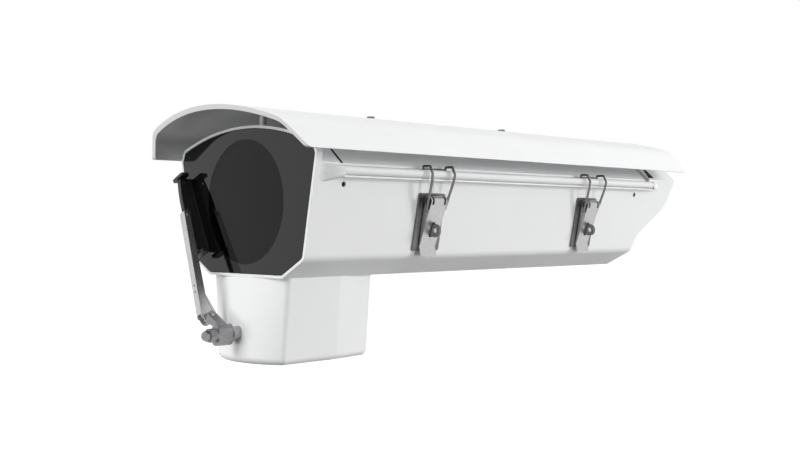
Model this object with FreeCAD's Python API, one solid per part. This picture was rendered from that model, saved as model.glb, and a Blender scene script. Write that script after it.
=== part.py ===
"""Outdoor camera housing with a sunshield, toggle latches, a dark window and a wiper.

Frame: +Z is up, the window looks along -Y and the latches are on the +X side.
The origin is the centre of the bracket bolt pattern, on the underside of the casing.
Lengths are millimetres. "Setback" values are measured backwards from the front face.
"""
import FreeCAD, Part
import math
import os

V = FreeCAD.Vector
X_AXIS, Y_AXIS, Z_AXIS = V(1, 0, 0), V(0, 1, 0), V(0, 0, 1)

# General fits
seat_gap = 0.3            # between neighbouring pieces that do not touch
pin_gap = 0.05            # radial gap of a pin that turns in its hole
wall = 3.0                # cast wall of the casing
FAR = 600.0               # longer than the whole housing, for cutting tools

# Casing: lower outline of the cross section, and lengths along Y
front_to_bracket = 210.0  # front face of the casing to the centre of the bracket holes
floor_half = 40.5
chamfer_half, chamfer_z = 62.4, 12.2
shoulder_half, shoulder_z = 74.2, 74.0
roof_flank_deg = 41.4     # slope of the roof's flanks, from the horizontal
roof_crown_z = 98.8
roof_radius = 200.0
roof_corner = 15.0        # rounding between flank and arch
chamfer_round = 7.0
lid_start, lid_end = 20.4, 380.0
tail_foot, tail_waist, tail_hip, tail_top = 365.0, 371.5, 412.0, 424.0
tail_waist_z, tail_hip_z, tail_top_z = 24.5, 51.5, 82.0
tail_waist_round, tail_hip_round = 26.0, 20.0

# Window frame at the front of the casing
bezel_depth = 4.5
bezel_shoulder_half, bezel_shoulder_z = 75.3, 79.5
bezel_flank_deg = 67.0
bezel_crown_z = 100.8
bezel_corner = 2.0
bezel_rim = 1.8           # bright rim around the glass
bezel_ledge, ledge_thick = 5.0, 3.0   # ledge that the glass seats on
glass_inset = 0.5         # glass face behind the rim
glass_thick = 4.0
gasket_thick = 1.2
mask_thick = 1.5
eye_radius = 41.8         # round opening behind the glass
eye_z = 50.0
eye_depth = 7.8

# Rim of the casing and rail of the lid
rim_z, rim_thick, rim_half = 64.8, 1.2, 78.0
rail_half = 79.0
rail_height = 5.9
rail_end = 391.0          # where the rear fairing of the rail dies out
fairing_start = 5.0       # where the front fairing starts
fairing_round = 1.6
lid_inset = 2.15          # lid surface inside the casing's roof surface
lid_thick = 2.5
lid_foot = 3.2            # thickness of the lid's foot on the rim
seal_width, seal_height = 3.0, 1.6

# Sunshield
shield_thick = 3.0
shield_crown_z = 109.2    # inner surface
shield_radius = 207.0
shield_foot_half, shield_foot_z = 84.2, 81.3
shield_flank_deg = 48.0
shield_corner = 18.0
shield_nose = 31.0        # overhang of the crown in front of the casing
shield_rake = 0.527       # how far the front edge runs back for each mm down
shield_end = 419.5
shield_foot_round = 3.0
shield_screw_setbacks = (116.0, 268.0)
shield_screw_r, shield_head_r, shield_head_h = 2.0, 3.0, 3.2
screw_slot_width, screw_slot_depth, head_chamfer = 1.0, 1.1, 0.5
spacer_r = 5.0
rest_post_setback, rest_post_r = 15.4, 2.6

# Wiper motor box under the front of the casing
box_half_top, box_half_low = 41.0, 36.0
box_height = 57.0
box_corner_setback = 4.7
box_bow_top, box_bow_low = 4.5, 13.5
box_side_end, box_rear = 50.0, 84.0
box_rear_half_top, box_rear_half_low = 36.0, 31.0
box_edge_round, box_low_round = 4.0, 4.5
box_wall = 3.0
box_screw_r, box_head_r, box_head_h = 2.0, 3.8, 2.4
box_boss_r, box_boss_height, box_screw_length = 5.0, 16.0, 10.0
box_screw_setbacks = (16.0, 76.0)

# Wiper motor and its bush
bush_r, bush_flange_r, bush_flange = 5.0, 5.0, 5.6
bush_inside = 6.0         # length of the bush behind the box's front wall
shaft_r, shaft_up = 3.0, 19.4   # shaft radius, and its height above the box's bottom
motor_r, motor_length = 13.0, 34.0
gearbox_half, gearbox_length = 12.5, 18.0
socket_depth = 8.0
clamp_sheet, clamp_width, clamp_setback = 1.8, 12.0, 3.0

# Wiper: heights are above the lift pin or above the blade's rocker pin
wiper_park_deg = 25.2     # lean of the parked arm towards -X
hub_half, hub_height, hub_length = 4.25, 14.2, 11.5
hub_crank_r, hub_crank_width = 3.4, 4.0   # round end of the hub's crank beside the arm
crank_shoulder = 1.5      # top of the crank above the lift pin, on its inner side
nut_flats, nut_length, dome_r, nut_neck = 8.4, 6.9, 3.5, 1.2
nut_bore = 6.0            # length of the shaft inside the nut
lift_z, lift_ahead = 16.1, -6.6   # lift pin above the shaft, and ahead of the hub's front
lift_pin_r = 1.6
pin_proud = 0.7           # ends of the pins outside the sheet that they hold
arm_length = 79.6         # lift pin to tip
arm_width, arm_sheet = 5.8, 0.7
arm_front = 5.6           # arm's outer face ahead of the lift pin
arm_ear_r, arm_chin = 3.9, 1.5   # round lower end of the side walls, and start of their front edge
arm_foot, arm_foot_depth = 3.5, 12.0   # rear corner of the flared base
arm_knee, arm_knee_depth = 17.0, 6.0   # top of the flared base
arm_tip_depth = 4.4
arm_tip_front = 14.2      # outer face of the arm's tip ahead of the glass frame
arm_offset = -13.6        # arm to the left of the shaft axis
arm_hole_r, arm_hole_heights = 0.8, (20.3, 24.8)
slit_width, slit_inset, slit_top = 0.8, 2.0, 12.5   # slit along the rear edge of the base
rocker_pin_r = 0.9
rocker_below_tip, rocker_ahead = 2.4, 11.7   # rocker pin below the tip and ahead of the frame
rocker_lug_r = 1.7
blade_length, blade_shift = 56.7, 0.3   # blade's middle above the rocker pin
holder_width, holder_sheet = 3.7, 0.75
holder_back, holder_end, holder_crown = 4.6, 9.5, 12.7   # edges ahead of the frame
holder_grip = 4.0         # depth of the rubber in the holder
blade_rivet_r = 0.9
blade_rivets_at = ((3.8, 10.6), (24.4, 7.4))   # height, and distance ahead of the frame
clip_half, clip_ahead, clip_depth, clip_thick, clip_round = 6.5, 1.2, 6.4, 2.0, 1.5
blade_foot_gap = 0.35     # rubber edge off the glass
lip_width, lip_taper = 0.9, 1.0

# Latches
latch_setbacks = (107.6, 290.6)
plate_width, plate_height, plate_thick = 26.0, 40.6, 1.2
plate_top_z = 56.6
plate_round = 2.0
rivet_drops = (9.5, 16.5)  # rivets from the plate's top
rivet_head_r, rivet_head_h = 2.4, 0.8
lever_pivot_x, lever_pivot_z = 75.0, 51.0
bail_drop, bail_in = 6.0, 0.5    # bail pivot below and inside the lever pivot
lever_width, lever_sheet = 15.6, 1.0
lever_length = 33.0
lever_lip, lever_lip_deg = 6.5, 24.0
lever_curl_r = 3.4
lever_foot_up = 6.0       # lower end of the side walls' full depth above the lever's end
ear_sheet, ear_below = 1.4, 4.6
latch_pin_r = 1.2
wire_r = 0.9
bail_half = 11.2          # half distance between the bail's legs at the rail
bail_knee_z, bail_knee_in = 63.5, 1.2   # bend of the legs, and its X inside the outermost point
hook_in, hook_up = 2.75, 3.3    # crossbar inside and above the bead's centre
hook_bend_in, hook_run = 0.1, 0.1   # inner radius of the hook's bends, and the straight between them
bail_bulge = 2.6          # wire outside the rail
staple_r, staple_hole_r, staple_thick = 4.6, 1.9, 1.8
staple_proud = 3.4        # staple's centre outside the lever's face
staple_drop = 20.2        # staple centre below the lever pivot
slot_play_side, slot_play_end = 0.5, 0.9

# Hinges on the -X side
hinge_setbacks = latch_setbacks
hinge_out = 4.6           # hinge axis outside the rail
knuckle_r, hinge_pin_r = 4.2, 2.0
knuckle_length, lug_length = 10.0, 22.0

# Bracket mount on the underside
bolt_dx, bolt_dy = 40.0, 100.0
bolt_hole_r, bolt_boss_r, bolt_depth = 2.5, 6.0, 10.0
pad_margin = 12.0         # bracket pad beyond the hole centres
pad_groove_width, pad_groove_depth = 2.0, 0.8   # groove that frames the pad

# Inside
post_r, post_height = 4.0, 12.0
tray_width, tray_thick, tray_lip = 76.0, 2.0, 8.0
tray_setback = 52.0       # front end of the camera tray
tray_to_board = 7.0       # free floor between the tray and the terminal board
tray_post_inset, tray_post_margin = 10.0, 15.0   # tray posts from its sides and ends
board_post_inset = 4.5    # board posts from its edges
post_bore = 8.0           # depth of the screw holes in the posts
screw_play = 0.2          # radial play of the screws in tray and board
screw_grip = 6.0          # length of the screws in their posts
tray_slot_r, tray_slot_length, tray_slot_pitch = 3.3, 40.0, 80.0
screw_r, screw_head_r, screw_head_h = 1.5, 2.9, 1.8
board_width, board_length, board_thick = 44.0, 40.0, 1.6
board_setback = 309.0
terminal_width, terminal_depth, terminal_height = 36.0, 9.0, 10.0
terminal_count = 6

# Cable glands in the sloping rear wall
gland_xs = (-30.0, 0.0, 30.0)
gland_r, gland_flats, gland_hex = 7.0, 18.0, 5.0
gland_cap_r, gland_cap_length = 8.0, 11.0
gland_bore_r = 3.5
gland_along = 0.5         # place of the glands between waist (0) and hip (1)

# Small holes in the side wall
side_hole_r, side_hole_z = 1.8, 60.5
side_hole_setbacks = (25.3, 360.0)


front_y = -front_to_bracket
rim_top = rim_z + rim_thick
rail_z = rim_top + seat_gap
bead_r = rail_height / 2
bead_x = rail_half - bead_r
bead_z = rail_z + bead_r
lid_y0, lid_y1 = front_y + lid_start + seat_gap, front_y + lid_end - seat_gap
hinge_x, hinge_z = -(rail_half + hinge_out), rim_top + seat_gap / 2
shaft_z = shaft_up - box_height
tray_length = board_setback - tray_to_board - tray_setback
ear_r = lever_curl_r - lever_sheet - seat_gap    # round end of the latch's ears, inside the lever's curl
ear_out = lever_width / 2 - lever_sheet - seat_gap


def block(x0, x1, y0, y1, z0, z1):
    """Box between two corners."""
    return Part.makeBox(x1 - x0, y1 - y0, z1 - z0, V(x0, y0, z0))


def rod(start, along, radius, length):
    """Cylinder from a start point along a direction."""
    return Part.makeCylinder(radius, length, start, along)


def hexagon(start, along, flats, length):
    """Hexagonal prism with the given width across flats."""
    corner = flats / math.sqrt(3)
    ring = [V(corner * math.cos(math.radians(60 * i + 30)),
              corner * math.sin(math.radians(60 * i + 30)), 0) for i in range(7)]
    prism = Part.Face(Part.makePolygon(ring)).extrude(V(0, 0, length))
    prism.Placement = FreeCAD.Placement(start, FreeCAD.Rotation(Z_AXIS, along)) * prism.Placement
    return prism


def side_prism(points, x0, x1):
    """Solid between two values of X from an outline in the YZ plane."""
    face = Part.Face(Part.makePolygon(points + [points[0]]))
    face.translate(V(x0 - points[0].x, 0, 0))
    return face.extrude(X_AXIS * (x1 - x0))


def mirror_x(shape):
    """The same shape on the other side of the centre plane."""
    return shape.mirror(V(), X_AXIS)


def corner_arc(before, corner, after, radius):
    """Points where a rounded corner starts, is halfway and ends."""
    to_start = (before - corner).normalize()
    to_end = (after - corner).normalize()
    half = to_start.getAngle(to_end) / 2
    reach = radius / math.tan(half)
    middle = (to_start + to_end).normalize()
    centre = corner + middle * (radius / math.sin(half))
    return corner + to_start * reach, centre - middle * radius, corner + to_end * reach


def rounded_face(corners):
    """Face whose outline has straight sides and rounded corners: (point, radius) each."""
    edges = []
    last = None
    first = None
    count = len(corners)
    for i, (point, radius) in enumerate(corners):
        if radius > 0:
            start, middle, end = corner_arc(corners[i - 1][0], point, corners[(i + 1) % count][0], radius)
        else:
            start, middle, end = point, None, point
        if last is not None:
            edges.append(Part.makeLine(last, start))
        if middle is not None:
            edges.append(Part.Arc(start, middle, end).toShape())
        first = first or start
        last = end
    edges.append(Part.makeLine(last, first))
    return Part.Face(Part.Wire(edges))


def hood_edges(crown_z, radius, foot_half, foot_z, flank_deg, corner, grow=0.0):
    """Edges of a roof line from its right foot, over the arch, to its left foot.

    The flank rises from the foot at flank_deg and meets the arch in a rounded corner.
    A positive grow moves the whole line outwards.
    """
    slope = math.radians(flank_deg)
    out = V(math.sin(slope), 0, math.cos(slope))
    up = V(-math.cos(slope), 0, math.sin(slope))
    centre = V(0, 0, crown_z - radius)
    foot = V(foot_half, 0, foot_z) + out * grow
    foot = foot - up * ((foot.z - foot_z) / up.z)
    arch_r, corner_r = radius + grow, corner + grow
    inner = foot - out * corner_r
    reach = inner - centre
    along = -reach.dot(up) + math.sqrt((arch_r - corner_r) ** 2 - (reach - up * reach.dot(up)).Length ** 2)
    pivot = inner + up * along
    to_arch = (pivot - centre).normalize()
    tangent_low = pivot + out * corner_r
    tangent_high = centre + to_arch * arch_r
    halfway = pivot + (out + to_arch).normalize() * corner_r
    flip = lambda p: V(-p.x, p.y, p.z)
    return [
        Part.makeLine(foot, tangent_low),
        Part.Arc(tangent_low, halfway, tangent_high).toShape(),
        Part.Arc(tangent_high, centre + Z_AXIS * arch_r, flip(tangent_high)).toShape(),
        Part.Arc(flip(tangent_high), flip(halfway), flip(tangent_low)).toShape(),
        Part.makeLine(flip(tangent_low), flip(foot)),
    ]


def casing_outline(crown_z, foot_half, foot_z, flank_deg, corner):
    """Closed outline of the casing's cross section at Y = 0."""
    hood = hood_edges(crown_z, roof_radius, foot_half, foot_z, flank_deg, corner)
    low, high = V(floor_half, 0, 0), V(chamfer_half, 0, chamfer_z)
    foot = V(foot_half, 0, foot_z)
    start, middle, end = corner_arc(low, high, foot, chamfer_round)
    right = [Part.makeLine(low, start), Part.Arc(start, middle, end).toShape(), Part.makeLine(end, foot)]
    left = [mirror_x(edge) for edge in right]
    base = Part.makeLine(V(-floor_half, 0, 0), low)
    return Part.Wire(Part.__sortEdges__([base] + right + hood + left))


def body_outline():
    """Outline of the casing behind the window frame."""
    return casing_outline(roof_crown_z, shoulder_half, shoulder_z, roof_flank_deg, roof_corner)


def bezel_outline():
    """Outline of the window frame."""
    return casing_outline(bezel_crown_z, bezel_shoulder_half, bezel_shoulder_z, bezel_flank_deg, bezel_corner)


def prism_y(wire, y0, y1, inset=0.0):
    """Solid between two values of Y from an outline at Y = 0, drawn in by an inset."""
    if inset:
        wire = wire.makeOffset2D(-inset)
    face = Part.Face(wire)
    face.translate(V(0, y0, 0))
    return face.extrude(V(0, y1 - y0, 0))


def tail_prism(inset=0.0):
    """Everything ahead of the curved rear end, which is drawn in by an inset."""
    rear = [(V(0, front_y - FAR, -FAR), 0),
            (V(0, front_y + tail_foot, -FAR), 0),
            (V(0, front_y + tail_foot, 0), 0),
            (V(0, front_y + tail_waist, tail_waist_z), tail_waist_round),
            (V(0, front_y + tail_hip, tail_hip_z), tail_hip_round),
            (V(0, front_y + tail_top, tail_top_z), 0),
            (V(0, front_y + tail_top, FAR), 0),
            (V(0, front_y - FAR, FAR), 0)]
    face = rounded_face(rear)
    if inset:
        face = Part.Face(face.OuterWire.makeOffset2D(-inset))
    face.translate(V(-FAR / 2, 0, 0))
    return face.extrude(V(FAR, 0, 0))


def bead(y0, y1, radius=bead_r, shift=0.0):
    """Rail bead on the +X side between two values of Y."""
    return rod(V(bead_x - shift, y0, bead_z), Y_AXIS, radius, y1 - y0)


def fairing_ring(y, x_out, low, high):
    """Section of a rail fairing: a flat bar with a rounded outer side."""
    x_in = shoulder_half - 2 * wall
    face = rounded_face([(V(x_in, y, low), 0), (V(x_out, y, low), fairing_round),
                         (V(x_out, y, high), fairing_round), (V(x_in, y, high), 0)])
    return face.OuterWire


def rail_fairing(y_end, y_root):
    """Lump that carries the rail's line into the side wall, on the +X side."""
    low, high = rim_z, rail_z + rail_height
    sunk = shoulder_half - wall / 2
    ends = [fairing_ring(y_end, rail_half - seat_gap, low, high),
            fairing_ring(y_root, sunk, low + rim_thick, high - rim_thick / 2)]
    return Part.makeLoft(ends, True, True)


def knuckle(y0, length, radius=knuckle_r):
    """Round hinge knuckle on the hinge axis."""
    return rod(V(hinge_x, y0, hinge_z), Y_AXIS, radius, length)


def hinge_lug_spans(setback):
    """Y spans of one hinge: the casing's two knuckles and the lid's one between them."""
    middle = front_y + setback
    half = lug_length / 2
    return ((middle - half - knuckle_length, knuckle_length),
            (middle + half, knuckle_length)), (middle - half + seat_gap, lug_length - 2 * seat_gap)


def gland_frame():
    """Point and outward direction of the middle gland on the rear slope."""
    waist = V(0, front_y + tail_waist, tail_waist_z)
    hip = V(0, front_y + tail_hip, tail_hip_z)
    along = hip - waist
    return waist + along * gland_along, V(0, along.z, -along.y).normalize()


def place_gland(shape, x):
    """Move a piece that is drawn along +Z at the origin to a gland position."""
    point, out = gland_frame()
    moved = shape.copy()
    moved.Placement = FreeCAD.Placement(point + X_AXIS * x, FreeCAD.Rotation(Z_AXIS, out)) * moved.Placement
    return moved


def corner_points(dx, dy, y_mid=0.0):
    """Four corners of a rectangle around the origin or another Y."""
    return [(sx * dx / 2, y_mid + sy * dy / 2) for sx in (-1, 1) for sy in (-1, 1)]


def tray_posts():
    """Places of the posts that carry the camera tray."""
    middle = front_y + tray_setback + tray_length / 2
    return corner_points(tray_width - 2 * tray_post_inset, tray_length - 2 * tray_post_margin, middle)


def board_posts():
    """Places of the posts that carry the terminal board."""
    middle = front_y + board_setback + board_length / 2
    return corner_points(board_width - 2 * board_post_inset, board_length - 2 * board_post_inset, middle)


def box_half_at(setback):
    """Half width of the motor box at its top, at a setback."""
    share = max(0.0, (setback - box_side_end) / (box_rear - box_side_end))
    return box_half_top + (box_rear_half_top - box_half_top) * share


def box_screw_points():
    """Places of the screws that hold the motor box, in bosses on its walls."""
    return [(sx * (box_half_at(s) - box_wall - box_boss_r / 2), front_y + s)
            for sx in (-1, 1) for s in box_screw_setbacks]


def casing_shell():
    """Outer skin of the casing, with its cavity and its open top."""
    start, end = front_y, front_y + tail_top + 20
    skin = prism_y(body_outline(), start + bezel_depth, end).common(tail_prism())
    cavity = prism_y(body_outline(), start - 1, end, wall).common(tail_prism(wall))
    top = block(-FAR, FAR, start + lid_start, front_y + lid_end, rim_top, FAR)
    rim = block(-rim_half, rim_half, start + lid_start, front_y + lid_end, rim_z, rim_top)
    fairings = rail_fairing(front_y + lid_start, front_y + fairing_start)
    fairings = fairings.fuse(rail_fairing(front_y + lid_end, front_y + rail_end))
    frame = prism_y(bezel_outline(), start, start + bezel_depth)
    solid = skin.cut(top).fuse([rim, fairings, mirror_x(fairings), frame])
    return solid.cut(cavity)


def window_ledge():
    """Ledge behind the glass, inside the window frame."""
    start = front_y + glass_inset + glass_thick + gasket_thick
    ledge = prism_y(body_outline(), start, start + ledge_thick, wall / 2)
    return ledge.cut(prism_y(body_outline(), start - 1, start + ledge_thick + 1, wall + bezel_ledge))


def pad_groove():
    """Shallow groove in the underside that frames the bracket pad."""
    half_x, half_y = bolt_dx / 2 + pad_margin, bolt_dy / 2 + pad_margin
    out_x, out_y = half_x + pad_groove_width, half_y + pad_groove_width
    ring = block(-out_x, out_x, -out_y, out_y, -1, pad_groove_depth)
    return ring.cut(block(-half_x, half_x, -half_y, half_y, -2, pad_groove_depth + 1))


def lower_casing():
    """Cast lower half: tub, window frame, rear end, bosses and hinge knuckles."""
    solid = casing_shell().fuse(window_ledge())
    solid = solid.cut(prism_y(bezel_outline(), front_y - 1, front_y + bezel_depth + 1.2, bezel_rim))
    extras = []
    for x, y in corner_points(bolt_dx, bolt_dy):
        extras.append(rod(V(x, y, wall - 1), Z_AXIS, bolt_boss_r, bolt_depth))
    for x, y in tray_posts() + board_posts():
        extras.append(rod(V(x, y, wall - 1), Z_AXIS, post_r, post_height - wall + 1))
    for setback in hinge_setbacks:
        for y0, length in hinge_lug_spans(setback)[0]:
            extras.append(knuckle(y0, length))
            extras.append(block(hinge_x, -shoulder_half, y0, y0 + length, hinge_z - knuckle_r, rim_z + rim_thick / 2))
    solid = solid.fuse(extras)
    cuts = []
    for x, y in corner_points(bolt_dx, bolt_dy):
        cuts.append(rod(V(x, y, -1), Z_AXIS, bolt_hole_r, bolt_depth))
    for x, y in tray_posts() + board_posts():
        cuts.append(rod(V(x, y, post_height - post_bore), Z_AXIS, screw_r + pin_gap, post_bore + 1))
    for x, y in box_screw_points():
        cuts.append(rod(V(x, y, -1), Z_AXIS, box_screw_r + pin_gap, wall + 2))
    cuts.append(rod(V(0, front_y + 45, -1), Z_AXIS, 8.0, wall + 2))
    for setback in hinge_setbacks:
        (first, _), (last, length) = hinge_lug_spans(setback)[0]
        cuts.append(knuckle(first - 1, last + length - first + 2, hinge_pin_r))
    for x in gland_xs:
        cuts.append(place_gland(rod(V(0, 0, -wall - 2), Z_AXIS, gland_r + pin_gap, wall + 4), x))
    for setback in side_hole_setbacks:
        cuts.append(rod(V(shoulder_half - 8, front_y + setback, side_hole_z), X_AXIS, side_hole_r, 16))
    crown_post = rod(V(0, front_y + rest_post_setback, roof_crown_z - wall - 1), Z_AXIS, rest_post_r, wall + 3)
    return solid.cut(cuts + [crown_post, pad_groove()])


def window_glass():
    """Flat pane in the window frame."""
    start = front_y + glass_inset
    return prism_y(bezel_outline(), start, start + glass_thick, bezel_rim + seat_gap)


def window_gasket():
    """Rubber ring between the pane and its ledge."""
    start = front_y + glass_inset + glass_thick
    ring = prism_y(body_outline(), start, start + gasket_thick, wall + 0.5)
    return ring.cut(prism_y(body_outline(), start - 1, start + gasket_thick + 1, wall + bezel_ledge - 0.5))


def window_mask():
    """Dark mask behind the ledge with a short tube around the round opening."""
    start = front_y + glass_inset + glass_thick + gasket_thick + ledge_thick
    plate = prism_y(body_outline(), start, start + mask_thick, wall + seat_gap)
    centre = V(0, start, eye_z)
    tube = rod(centre, Y_AXIS, eye_radius + 1.5, eye_depth)
    return plate.fuse(tube).cut(rod(centre - Y_AXIS, Y_AXIS, eye_radius, eye_depth + 2))


def lid_line(grow=0.0):
    """Roof line of the lid, drawn at Y = 0."""
    return hood_edges(roof_crown_z, roof_radius, shoulder_half, shoulder_z, roof_flank_deg, roof_corner,
                      grow - lid_inset)


def lid_edge_x():
    """Half width of the lid's outer surface at its lower edge."""
    return lid_line()[0].Vertexes[0].Point.x


def roof_band(lines_out, lines_in, y0, y1):
    """Curved sheet between two roof lines that end on the same level."""
    outer, inner = Part.Wire(lines_out), Part.Wire(lines_in)
    ends = []
    for i in (0, -1):
        ends.append(Part.makeLine(outer.OrderedVertexes[i].Point, inner.OrderedVertexes[i].Point))
    band = Part.Face(Part.Wire(Part.__sortEdges__(lines_out + lines_in + ends)))
    band.translate(V(0, y0, 0))
    return band.extrude(V(0, y1 - y0, 0))


def lid_cover():
    """Hinged upper half: arched roof with a rail bead along both edges."""
    band = roof_band(lid_line(), lid_line(-lid_thick), lid_y0, lid_y1)
    outer_x = lid_edge_x()
    inner_x = outer_x - lid_thick
    foot = block(inner_x, bead_x, lid_y0, lid_y1, rail_z, rail_z + lid_foot)
    web = block(inner_x, outer_x, lid_y0, lid_y1, rail_z, shoulder_z)
    edge = bead(lid_y0, lid_y1).fuse([foot, web]).cut(seal_strip())
    solid = band.fuse([edge, mirror_x(edge)])
    lugs = []
    for setback in hinge_setbacks:
        y0, length = hinge_lug_spans(setback)[1]
        lugs.append(knuckle(y0, length))
        lugs.append(block(hinge_x, -bead_x, y0, y0 + length, rail_z, hinge_z + knuckle_r))
    solid = solid.fuse(lugs)
    cuts = []
    for setback in hinge_setbacks:
        y0, length = hinge_lug_spans(setback)[1]
        cuts.append(knuckle(y0 - 1, length + 2, hinge_pin_r + pin_gap))
    for setback in shield_screw_setbacks:
        top = roof_crown_z - lid_inset
        cuts.append(rod(V(0, front_y + setback, top - 10), Z_AXIS, shield_screw_r + pin_gap, 20))
    return solid.cut(cuts)


def shield_side():
    """Side view of the sunshield: raked front edge and straight rear end."""
    top = shield_crown_z + shield_thick
    nose_y = front_y - shield_nose - shield_rake * shield_thick
    low_y = front_y - shield_nose + shield_rake * (shield_crown_z - shield_foot_z)
    rear_y = front_y + shield_end
    face = rounded_face([(V(0, low_y, shield_foot_z), shield_foot_round),
                         (V(0, rear_y, shield_foot_z), shield_foot_round),
                         (V(0, rear_y, top + 10), 0),
                         (V(0, nose_y - 10 * shield_rake, top + 10), 0)])
    face.translate(V(-FAR / 2, 0, 0))
    return face.extrude(V(FAR, 0, 0))


def sunshield():
    """Arched sheet over the lid, held off it by spacers."""
    args = (shield_crown_z, shield_radius, shield_foot_half, shield_foot_z, shield_flank_deg, shield_corner)
    y0 = front_y - shield_nose - 10
    y1 = front_y + shield_end + 10
    solid = roof_band(hood_edges(*args, grow=shield_thick), hood_edges(*args), y0, y1).common(shield_side())
    holes = [rod(V(0, front_y + s, shield_crown_z - 5), Z_AXIS, shield_screw_r + pin_gap, 20)
             for s in shield_screw_setbacks]
    return solid.cut(holes)


def shield_spacers():
    """Round spacers between the lid and the sunshield."""
    low = roof_crown_z - lid_inset
    ring = [rod(V(0, front_y + s, low), Z_AXIS, spacer_r, shield_crown_z - low)
            .cut(rod(V(0, front_y + s, low - 1), Z_AXIS, shield_screw_r + pin_gap, 30))
            for s in shield_screw_setbacks]
    under = prism_y(body_outline(), lid_y0, lid_y1, lid_inset)
    span = [spacer.cut(under) for spacer in ring]
    args = (shield_crown_z, shield_radius, shield_foot_half, shield_foot_z, shield_flank_deg, shield_corner)
    roof = roof_band(hood_edges(*args, grow=shield_thick), hood_edges(*args), front_y, front_y + shield_end)
    return Part.Compound([spacer.cut(roof) for spacer in span])


def shield_screws():
    """Cheese-head screws through sunshield, spacer and lid."""
    screws = []
    for setback in shield_screw_setbacks:
        seat = V(0, front_y + setback, shield_crown_z + shield_thick)
        length = seat.z - (roof_crown_z - lid_inset - lid_thick) + 1
        head = rod(seat, Z_AXIS, shield_head_r, shield_head_h)
        top = seat.z + shield_head_h
        head = head.makeChamfer(head_chamfer, [e for e in head.Edges if e.BoundBox.ZMin > top - 0.01])
        slot = block(-screw_slot_width / 2, screw_slot_width / 2, seat.y - 2 * shield_head_r,
                     seat.y + 2 * shield_head_r, top - screw_slot_depth, top + 1)
        screws.append(head.fuse(rod(seat, -Z_AXIS, shield_screw_r, length)).cut(slot))
    return Part.Compound(screws)


def rest_post():
    """Post on the front of the casing that steadies the sunshield."""
    y = front_y + rest_post_setback
    low = roof_crown_z - wall - 1
    return rod(V(0, y, low), Z_AXIS, rest_post_r, shield_crown_z - seat_gap - low)


def box_outline(half, rear_half, bow, inset=0.0):
    """Plan of the motor box at one level: bowed front, flat sides, tapered rear."""
    front = front_y + box_corner_setback + inset
    side = half - inset
    mid, rear = front_y + box_side_end, front_y + box_rear - inset
    tail = rear_half - inset
    right = [Part.makeLine(V(side, front, 0), V(side, mid, 0)), Part.makeLine(V(side, mid, 0), V(tail, rear, 0))]
    left = [Part.makeLine(V(-tail, rear, 0), V(-side, mid, 0)), Part.makeLine(V(-side, mid, 0), V(-side, front, 0))]
    back = Part.makeLine(V(tail, rear, 0), V(-tail, rear, 0))
    nose = Part.Arc(V(-side, front, 0), V(0, front - bow, 0), V(side, front, 0)).toShape()
    return Part.Wire(right + [back] + left + [nose])


def box_form(inset=0.0):
    """Lofted form of the motor box, drawn in by an inset."""
    top = box_outline(box_half_top, box_rear_half_top, box_bow_top, inset)
    low = box_outline(box_half_low, box_rear_half_low, box_bow_low, inset)
    low.translate(V(0, 0, inset - box_height))
    return Part.makeLoft([top, low], True, True)


def motor_box():
    """Cast box under the front of the casing."""
    form = box_form()
    low = [e for e in form.Edges if e.BoundBox.ZMax < -box_height + 0.01]
    form = form.makeFillet(box_low_round, low)
    upright = [e for e in form.Edges if e.BoundBox.ZLength > box_height / 2
               and not front_y + box_side_end - 5 < e.BoundBox.YMin < front_y + box_side_end + 5]
    form = form.makeFillet(box_edge_round, upright)
    solid = form.cut(box_form(box_wall))
    bosses = []
    holes = [rod(V(0, box_front_at_shaft() - 1, shaft_z), Y_AXIS, bush_r + pin_gap, box_wall + 3)]
    for x, y in box_screw_points():
        bosses.append(rod(V(x, y, -box_boss_height), Z_AXIS, box_boss_r, box_boss_height).common(form))
        holes.append(rod(V(x, y, -box_screw_length - 1), Z_AXIS, box_screw_r + pin_gap, box_screw_length + 2))
    return solid.fuse(bosses).cut(holes)


def box_front_at_shaft():
    """Y of the box's front face on the shaft axis."""
    share = -shaft_z / box_height
    bow = box_bow_top + (box_bow_low - box_bow_top) * share
    return front_y + box_corner_setback - bow


def box_screws():
    """Screws from inside the casing into the motor box."""
    screws = []
    for x, y in box_screw_points():
        head = rod(V(x, y, wall), Z_AXIS, box_head_r, box_head_h)
        screws.append(head.fuse(rod(V(x, y, wall), -Z_AXIS, box_screw_r, wall + box_screw_length)))
    return Part.Compound(screws)


def shaft_bush():
    """Flanged bush that carries the wiper shaft in the box's front wall."""
    face = box_front_at_shaft()
    flange = rod(V(0, face - bush_flange, shaft_z), Y_AXIS, bush_flange_r, bush_flange)
    sleeve = rod(V(0, face, shaft_z), Y_AXIS, bush_r, box_wall + bush_inside)
    bore = rod(V(0, face - bush_flange - 1, shaft_z), Y_AXIS, shaft_r + pin_gap,
               bush_flange + box_wall + bush_inside + 2)
    return flange.fuse(sleeve).cut(bore)


def motor_face():
    """Y of the gearbox's front, just behind the bush."""
    return box_front_at_shaft() + box_wall + bush_inside + seat_gap


def wiper_motor():
    """Gear motor inside the box, on the bush's axis."""
    start = motor_face()
    gearbox = block(-gearbox_half, gearbox_half, start, start + gearbox_length,
                    shaft_z - gearbox_half, shaft_z + gearbox_half)
    can = rod(V(0, start + gearbox_length, shaft_z), Y_AXIS, motor_r, motor_length)
    socket = rod(V(0, start - 1, shaft_z), Y_AXIS, shaft_r + pin_gap, socket_depth + 1)
    return gearbox.fuse(can).cut(socket)


def motor_clamp():
    """Strap around the gearbox that stands on the floor of the box."""
    start = motor_face() + clamp_setback
    side = gearbox_half + clamp_sheet
    outer = block(-side, side, start, start + clamp_width, box_wall - box_height, shaft_z + side)
    inner = block(-gearbox_half, gearbox_half, start - 1, start + clamp_width + 1,
                  shaft_z - gearbox_half, shaft_z + gearbox_half)
    return outer.cut(inner)


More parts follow.
